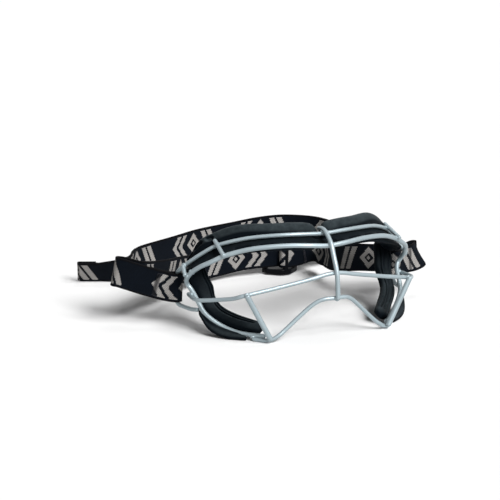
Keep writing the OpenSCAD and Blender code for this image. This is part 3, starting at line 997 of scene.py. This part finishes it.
class GOGGLES_OT_brow_pad(bpy.types.Operator):
    """Make the brow pad with its air slots and moulded edges"""
    bl_idname = "goggles.brow_pad"
    bl_label = "Brow Pad"

    def execute(self, context):
        look = context.scene.goggles_pad
        pad_rubber(look)
        right_end = np.array([-0.08, -0.066, 0.042])
        rings = starting_near(node_rings("brow_pad", PAD_SIDES), right_end)
        rings = turned_to(rings, rings[len(rings) // 4, :, 2].argmax())
        grid = pad_grid(rings, spacing=0.7 * MM, around=112)
        along = grid[:, :, 0]

        # Places round the pad in corners of the CAD's ring, from the top over the front
        corner = np.linspace(0, PAD_SIDES, grid.shape[1], endpoint=False)
        corner_gap = 3 * MM
        around = np.broadcast_to(corner * corner_gap, along.shape)
        slot_level, vent_level = 4.5 * corner_gap, 0.7 * corner_gap
        slots = sum(slot_mask(along, around, x * MM, slot_level, length * MM, height=1.7 * MM)
                    for x, length in FRONT_SLOTS)
        vents = sum(slot_mask(along, around, x * MM, vent_level, length=3.8 * MM, height=2.4 * MM)
                    for x in END_VENTS)
        parting = swell(corner, middle=12.6, width=0.12) * 0.35 * MM
        depth = (slots + vents) * look.slot_depth + parting
        grid = grid - grid_normals(grid) * depth[:, :, None]

        upward = np.cos(corner / PAD_SIDES * 2 * math.pi)
        top, bottom = step(upward, 0.1, 0.9), step(-upward, 0.1, 0.9)
        above = swell(np.abs(along), middle=52 * MM, width=14 * MM)
        above = above + 1.3 * swell(along, middle=-72 * MM, width=7 * MM)
        below = 1.3 * swell(along, middle=56 * MM, width=15 * MM)
        grid[:, :, 2] += (above * top - below * bottom) * look.crest
        # Painted shade: the front ledge between the wires gets little of the film of dust and painted
        # highlight, so it stays dark
        shaded_front = step(corner, 2.6, 3.4) * (1 - step(corner, 6, 7)) * 0.85
        add_pad("brow_pad", grid, cap=2.2 * MM, handled=shaded_front)
        return {"FINISHED"}


class GOGGLES_OT_cheek_pads(bpy.types.Operator):
    """Make both cheek pads with their moulded grooves"""
    bl_idname = "goggles.cheek_pads"
    bl_label = "Cheek Pads"

    def execute(self, context):
        look = context.scene.goggles_pad
        above_the_nose = np.array([0, -0.06, 0.1])
        for side, grooves in GROOVES.items():
            node = side + "_cheek_pad"
            rings = outer_first(starting_near(node_rings(node, PAD_SIDES), above_the_nose))
            grid = pad_grid(rings, spacing=0.6 * MM, around=96)
            turn = np.linspace(0, 2 * math.pi, grid.shape[1], endpoint=False)
            front = step(np.sin(turn), 0.05, 0.3)
            across = (1 - np.cos(turn)) / 2
            length = np.linspace(0, 1, grid.shape[0])
            fade = step(length, 0.02, 0.1) * (1 - step(length, 0.94, 0.99))
            groove = sum(swell(across, place, width) for place, width in grooves)
            depth = fade[:, None] * (front * groove)[None] * look.groove_depth
            grid = grid - grid_normals(grid) * depth[:, :, None]
            outward = unit(grid[:, :1] - grid[:, grid.shape[1] // 2][:, None])
            tuck = (1 - across)[None] * step(length, 0.35, 0.6)[:, None] * look.tuck
            grid = grid + outward * tuck[:, :, None]
            handled = np.full(len(turn), CHEEK_FILM_CUT)
            add_pad(node, grid, cap=5 * MM, handled=handled, cap_steps=9)
        return {"FINISHED"}


class GOGGLES_OT_bumpers(bpy.types.Operator):
    """Make the lip under each cheek pad"""
    bl_idname = "goggles.bumpers"
    bl_label = "Cheek Bumpers"

    def execute(self, context):
        look = context.scene.goggles_pad
        for side in ("right", "left"):
            node = side + "_cheek_bumper"
            rings = outer_first(node_rings(node, PAD_SIDES))
            grid = pad_grid(rings, spacing=0.6 * MM, around=64)
            turn = np.linspace(0, 2 * math.pi, grid.shape[1], endpoint=False)
            across = (1 - np.cos(turn)) / 2
            upper_last = grid[:, grid.shape[1] // 2, 2].mean() > grid[:, 0, 2].mean()
            upper = across if upper_last else 1 - across
            length = np.linspace(0, 1, grid.shape[0])
            fade = step(length, 0, 0.12) * (1 - step(length, 0.85, 1))
            rise = step(upper, 0.5, 1)[None] * fade[:, None]
            forward_and_up = np.array([0, -0.6, 0.8])
            grid = grid + rise[:, :, None] * forward_and_up * look.lip_rise
            add_pad(node, grid, cap=1.2 * MM, handled=np.full(len(turn), CHEEK_FILM_CUT))
        return {"FINISHED"}


# Head strap

def web_stations(rings):
    """Each ring of a webbing solid as its middle, its upward half width and its half thickness."""
    ring = rings[len(rings) // 2]
    sides = [np.linalg.norm(ring[(k + 1) % 4] - ring[k]) for k in range(4)]
    if sides[1] > sides[0]:
        rings = np.roll(rings, -1, axis=1)
    middle = rings.mean(1)
    across = (rings[:, 1] + rings[:, 2] - rings[:, 0] - rings[:, 3]) / 4
    thick = (rings[:, 2] + rings[:, 3] - rings[:, 0] - rings[:, 1]) / 4
    if across[:, 2].sum() < 0:
        across = -across
    return np.stack([middle, across, thick], 1)


def joined(first, second):
    """Two runs of stations end to end, the second turned to match the first."""
    ends = [np.linalg.norm(second[k, 0] - first[-1, 0]) for k in (0, -1)]
    second = (second[::-1] if ends[1] < ends[0] else second).copy()
    for row in (1, 2):
        if second[0, row] @ first[-1, row] < 0:
            second[:, row] *= -1
    start = 1 if min(ends) < 0.02 * MM else 0
    return np.concatenate([first, second[start:]])


def half_profile():
    """Places across half the webbing, and how thick it is there beside its full thickness."""
    place = np.array([0, 0.2, 0.4, 0.6, 0.74, 0.82, 0.86, 0.9, 0.94, 0.965, 0.982, 0.994, 1])
    rounded_share = 0.05
    edge = np.minimum((1 - place) / rounded_share, 1)
    bead_place, bead_width, bead_height = 0.92, 0.06, 0.14
    thin = 1 - bead_height * step(bead_place - place, 0, bead_width)
    return place, np.sqrt(1 - (1 - edge) ** 2) * thin


def web_grid(stations, spacing=1.2 * MM, ripple=0.25 * MM):
    """The webbing's skin, and each point's place across and along it in metres."""
    fine = smooth(stations, even_places(stations[:, 0], spacing))
    middle, across, thick = fine[:, 0], fine[:, 1], fine[:, 2]
    place, height = half_profile()
    face = np.concatenate([-place[::-1], place[1:]])
    face_height = np.concatenate([height[::-1], height[1:]])
    u = np.concatenate([face, face[-2:0:-1]])
    h = np.concatenate([face_height, -face_height[-2:0:-1]])
    grid = middle[:, None] + across[:, None] * u[None, :, None] + thick[:, None] * h[None, :, None]
    along = lengths_along(middle)
    wave = np.sin(along / RIPPLES[0]) * np.sin(along / RIPPLES[1] + 1)
    calm_length = 10 * MM
    calm = step(along, 0, calm_length) * step(along[-1] - along, 0, calm_length)
    lift = (ripple * wave * calm)[:, None] * (np.abs(u) ** 3)[None] * np.sign(u)[None]
    grid = grid + unit(thick)[:, None] * lift[:, :, None]
    web_place = np.empty(grid.shape[:2] + (2,))
    web_place[..., 0] = u[None] * np.linalg.norm(across, axis=1)[:, None]
    web_place[..., 1] = along[:, None]
    return grid, web_place


def web_piece(name, stations, material, body, nodes, **shape):
    """A piece of webbing through its stations."""
    grid, web_place = web_grid(stations, **shape)
    mesh = skin_mesh(name, grid, web_place)
    return add_piece(name, mesh, material, body, nodes, smooth_below=65)


class GOGGLES_OT_long_strap(bpy.types.Operator):
    """Make the long strap: front fold, rear run through the slider and far run"""
    bl_idname = "goggles.long_strap"
    bl_label = "Long Strap"

    def execute(self, context):
        look = context.scene.goggles_webbing
        cloth = webbing_cloth(look, "Long strap webbing", shift=5 * MM)
        fold = np.array([-0.102, -0.052, 0.032])
        stations = web_stations(starting_near(node_rings("front_strap", WEB_SIDES), fold))
        for node in ("rear_strap", "far_strap"):
            stations = joined(stations, web_stations(node_rings(node, WEB_SIDES)))
        x, y = stations[:, 0, 0], stations[:, 0, 1]
        on_near_side = y < 45 * MM
        hanging = on_near_side * step(x, -60 * MM, -25 * MM) * (1 - step(x, -12 * MM, 24 * MM))
        rear_share = 0.9
        stations[:, 0, 2] -= hanging * look.sag * rear_share
        nodes = ["front_strap", "rear_strap", "far_strap"]
        piece = web_piece("long_strap", stations, cloth, CAGE, nodes)
        return {"FINISHED"}


def turned_hem(stations, flap, half, out):
    """Stations round the tail's turned end and back along its flap. Half is half the way from
    the tail to the flap, and out the way that the fold bulges."""
    width_share, bulge = 0.97, 0.9 * MM
    end = stations[-1].copy()
    end[1] *= width_share
    fold = []
    for angle in np.linspace(0.15, 0.85, 6) * math.pi:
        bent = end.copy()
        bent[0] = end[0] + half * (1 - math.cos(angle)) + out * bulge * math.sin(angle)
        turn = unit(half) * math.cos(angle) - out * math.sin(angle)
        bent[2] = turn * np.linalg.norm(flap[0, 2]) * np.sign(flap[0, 2] @ half)
        fold.append(bent)
    return joined(np.array(fold), flap)


def hem_seams(flap, half):
    """Straight lines across the outside of the hem's flap to sew along."""
    lift = 0.6 * MM
    seams = []
    for share in HEM_SEAMS:
        middle, across, thick = smooth(flap, np.array([share * (len(flap) - 1)]))[0]
        face = middle + unit(thick) * np.sign(thick @ half) * lift
        seams.append(np.array([face - across * SEAM_REACH, face + across * SEAM_REACH]))
    return seams


class GOGGLES_OT_tail(bpy.types.Operator):
    """Make the strap's free tail and its turned, sewn hem"""
    bl_idname = "goggles.tail"
    bl_label = "Tail"

    def execute(self, context):
        look = context.scene.goggles_webbing
        cloth = webbing_cloth(look, "Tail webbing", shift=27 * MM)
        far = node_rings("far_strap", WEB_SIDES)
        tail = node_rings("strap_tail", WEB_SIDES)
        root = far[np.argmin(np.linalg.norm(far.mean(1) - tail[0].mean(0), axis=1))]
        far_end = web_stations(np.stack([root, root]))[:1]
        stations = joined(far_end, web_stations(tail))
        piece = web_piece("tail_webbing", stations, cloth, None, ["strap_tail"], ripple=0.1 * MM)

        flap = joined(stations[-1:], web_stations(node_rings("tail_hem", WEB_SIDES)))[1:]
        half = (flap[0, 0] - stations[-1, 0]) / 2
        out = unit(stations[-1, 0] - stations[-3, 0])
        hem_stations = turned_hem(stations, flap, half, out)
        hem = web_piece("tail_fold", hem_stations, cloth, TAIL, ["tail_hem"], spacing=0.5 * MM, ripple=0)
        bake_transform(piece)

        thread = sewing_thread()
        seams = path_curve("hem_lines", hem_seams(flap, half))
        stitches = modelled("hem_stitches", seams, running_stitches,
                            {"Pitch": 2.2 * MM, "Thread": look.thread, "Material": thread})
        add_piece("hem_stitches", stitches, thread, TAIL)
        return {"FINISHED"}


class GOGGLES_OT_short_strap(bpy.types.Operator):
    """Make the short strap and its sewn loop round the slider's middle bar"""
    bl_idname = "goggles.short_strap"
    bl_label = "Short Strap"

    def execute(self, context):
        look = context.scene.goggles_webbing
        cloth = webbing_cloth(look, "Short strap webbing", shift=18 * MM)
        loop_rings = node_rings("slider_loop", WEB_SIDES)
        run_rings = starting_near(node_rings("short_strap", WEB_SIDES), loop_rings[-1].mean(0))
        free_end = np.array([0.0661, 0.0332, 0.018])
        loop = web_stations(starting_near(loop_rings, free_end))
        whole = joined(loop, web_stations(run_rings))
        loop, run = whole[:len(loop)], whole[len(loop) - 1:]
        along = lengths_along(run[:, 0])
        hanging = step(along, 0, 11 * MM) * step(along[-1] - along, 70 * MM, 112 * MM)
        run[:, 0, 2] -= hanging * look.sag
        piece = web_piece("sewn_loop", loop, cloth, SLIDER, ["slider_loop"], spacing=0.6 * MM, ripple=0)
        piece = web_piece("short_webbing", run, cloth, None, ["short_strap"], ripple=0.15 * MM)
        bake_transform(piece)
        return {"FINISHED"}


class GOGGLES_OT_tacks(bpy.types.Operator):
    """Sew the bar tacks that hold the strap's folds"""
    bl_idname = "goggles.tacks"
    bl_label = "Bar Tacks"

    def execute(self, context):
        look = context.scene.goggles_webbing
        thread = bpy.data.materials["Sewing thread"]
        bodies = {"front_strap_tack": CAGE, "short_strap_tack": CAGE, "slider_loop_tack": SLIDER}
        for node, body in bodies.items():
            stations = web_stations(node_rings(node, WEB_SIDES))
            middle, across = stations[:, 0].mean(0), stations[:, 1].mean(0)
            reach = (stations[-1, 0] - stations[0, 0]) / 2
            line = path_curve(node + "_line", [np.array([middle - across, middle + across])])
            mesh = modelled("sewn_" + node, line, zigzag_thread, {
                "Pitch": 0.42 * MM, "Reach": tuple(reach), "Thread": look.thread, "Material": thread})
            add_piece("sewn_" + node, mesh, thread, body, [node])
        return {"FINISHED"}


# Slider

class GOGGLES_OT_slider(bpy.types.Operator):
    """Make the slider with rounded edges"""
    bl_idname = "goggles.slider"
    bl_label = "Slider"

    def execute(self, context):
        look = context.scene.goggles_slider
        shaped = node_mesh("slider_frame")
        corners = np.array([v.co[:] for v in shaped.verts])
        middle = (corners.min(0) + corners.max(0)) / 2
        for vert in shaped.verts:
            vert.co = Vector(middle + (np.array(vert.co) - middle) * np.array(look.fullness))
        source = bpy.data.meshes.new("slider_shape")
        shaped.to_mesh(source)
        shaped.free()
        maker = add_object("slider_shape", source)
        skin = maker.modifiers.new("Skin", "REMESH")
        skin.mode = "VOXEL"
        skin.voxel_size = 0.3 * MM
        soft = maker.modifiers.new("Soft", "SMOOTH")
        soft.factor = 0.5
        soft.iterations = look.roundness
        mesh = plain_mesh("moulded_slider", maker)
        add_piece("moulded_slider", mesh, slider_plastic(look), SLIDER, ["slider_frame"],
                  smooth_below=40)
        return {"FINISHED"}


# Stage

def photo_camera(stage):
    """The camera at the photograph's viewing angle."""
    turn, height, roll = stage.turn, stage.height, stage.roll
    right = Vector((math.cos(turn), math.sin(turn), 0))
    back = Vector((math.sin(turn) * math.cos(height), -math.cos(turn) * math.cos(height),
                   math.sin(height)))
    up = back.cross(right)
    side = right * math.cos(roll) + up * math.sin(roll)
    top = up * math.cos(roll) - right * math.sin(roll)
    mask_middle = Vector((0.5, -123.2, 1.6)) * MM
    leftward, upward = 53.3 * MM, 56.1 * MM
    place = mask_middle + back * stage.distance - side * leftward + top * upward
    data = bpy.data.cameras.new("photo_camera")
    data.lens = stage.lens
    data.sensor_width = 36
    data.clip_start = 0.01
    data.clip_end = 50
    camera = add_object("photo_camera", data)
    turned = Matrix((side, top, back)).transposed().to_4x4()
    camera.matrix_world = Matrix.Translation(place) @ turned
    bpy.context.scene.camera = camera


def lamps(stage):
    """Broad, even lamps as far off as the sun, set by where their shadows fall."""
    right = Vector((math.cos(stage.turn), math.sin(stage.turn), 0))
    away = Vector((-math.sin(stage.turn), math.cos(stage.turn), 0))
    for name, (shadow_back, shadow_right, share) in LAMPS.items():
        path = (away * shadow_back + right * shadow_right - Vector((0, 0, 1))).normalized()
        data = bpy.data.lights.new(name, "SUN")
        data.energy = stage.brightness * share * math.pi / (FLOOR_GREY * -path.z)
        data.angle = stage.lamp_spread
        add_object(name, data).rotation_euler = path.to_track_quat("-Z", "Y").to_euler()


def seen_directly(tree):
    """1 for what the camera sees, also in a reflection or through something clear."""
    rays = outputs_of(tree, tree.nodes.new("ShaderNodeLightPath"))
    return rays["Is Camera Ray"].most(rays["Is Glossy Ray"]).most(rays["Is Transmission Ray"])


def floor_material():
    """Plain pale floor that stays white where nothing shades it."""
    material, tree, shader, place = new_material("Pale floor")
    grain = use_group(tree, fine_grain, {"Vector": place, "Grain": 300.0, "Clouds": 6.0})
    dark, light = ((FLOOR_GREY + change,) * 3 + (1,) for change in (-0.01, 0.01))
    connect(tree, shader, {
        "Base Color": mixed(tree, grain["Cloud"], dark, light), "Roughness": 0.9,
        "Specular IOR Level": 0.1, "Emission Color": (1, 1, 1, 1),
        "Emission Strength": seen_directly(tree) * FLOOR_GLOW})
    return material


def pale_floor():
    """A floor much larger than the picture, which belongs to the stage."""
    mesh = bpy.data.meshes.new("pale_floor")
    corners = [(FLOOR_REACH * x, FLOOR_REACH * y, 0) for x, y in ((-1, -1), (1, -1), (1, 1), (-1, 1))]
    mesh.from_pydata(corners, [], [(0, 1, 2, 3)])
    mesh.materials.append(floor_material())
    add_object("pale_floor", mesh)


def plain_sky(strength):
    """Even light from all sides, white where the camera or a reflection sees it."""
    world = bpy.data.worlds.new("Plain sky")
    world.use_nodes = True
    tree = world.node_tree
    tree.nodes.clear()
    level = seen_directly(tree) * (1 - strength) + strength
    light = add_node(tree, "ShaderNodeBackground", {"Color": (1, 1, 1, 1), "Strength": level})
    add_node(tree, "ShaderNodeOutputWorld", {"Surface": light.outputs[0]})
    bpy.context.scene.world = world


class GOGGLES_OT_stage(bpy.types.Operator):
    """Set up the camera, the lamps, the sky and the floor"""
    bl_idname = "goggles.stage"
    bl_label = "Stage"

    def execute(self, context):
        stage = context.scene.goggles_stage
        photo_camera(stage)
        pale_floor()
        lamps(stage)
        plain_sky(stage.sky)
        context.scene.view_settings.view_transform = "Standard"
        return {"FINISHED"}


# Add-on

SETTINGS = {
    "goggles_wire": WireSettings,
    "goggles_pad": PadSettings,
    "goggles_webbing": WebbingSettings,
    "goggles_slider": SliderSettings,
    "goggles_stage": StageSettings,
}

STEPS = (
    GOGGLES_OT_stage,
    GOGGLES_OT_wires,
    GOGGLES_OT_welds,
    GOGGLES_OT_brow_pad,
    GOGGLES_OT_cheek_pads,
    GOGGLES_OT_bumpers,
    GOGGLES_OT_long_strap,
    GOGGLES_OT_tail,
    GOGGLES_OT_short_strap,
    GOGGLES_OT_tacks,
    GOGGLES_OT_slider,
)


class GOGGLES_PT_panel(bpy.types.Panel):
    """Lists the goggles' settings and pieces"""
    bl_idname = "GOGGLES_PT_panel"
    bl_label = "Goggles"
    bl_space_type = "VIEW_3D"
    bl_region_type = "UI"
    bl_category = "Goggles"

    def draw(self, context):
        layout = self.layout
        for name, group in SETTINGS.items():
            box = layout.box()
            for key in group.__annotations__:
                box.prop(getattr(context.scene, name), key)
        for operator in STEPS:
            layout.operator(operator.bl_idname)


def register():
    for group in SETTINGS.values():
        bpy.utils.register_class(group)
    for operator in STEPS:
        bpy.utils.register_class(operator)
    bpy.utils.register_class(GOGGLES_PT_panel)
    for name, group in SETTINGS.items():
        setattr(bpy.types.Scene, name, PointerProperty(type=group))


def unregister():
    for name in SETTINGS:
        delattr(bpy.types.Scene, name)
    bpy.utils.unregister_class(GOGGLES_PT_panel)
    for operator in reversed(STEPS):
        bpy.utils.unregister_class(operator)
    for group in reversed(list(SETTINGS.values())):
        bpy.utils.unregister_class(group)


def main():
    register()
    for operator in STEPS:
        group, name = operator.bl_idname.split(".")
        getattr(getattr(bpy.ops, group), name)()


if __name__ == "__main__":
    main()
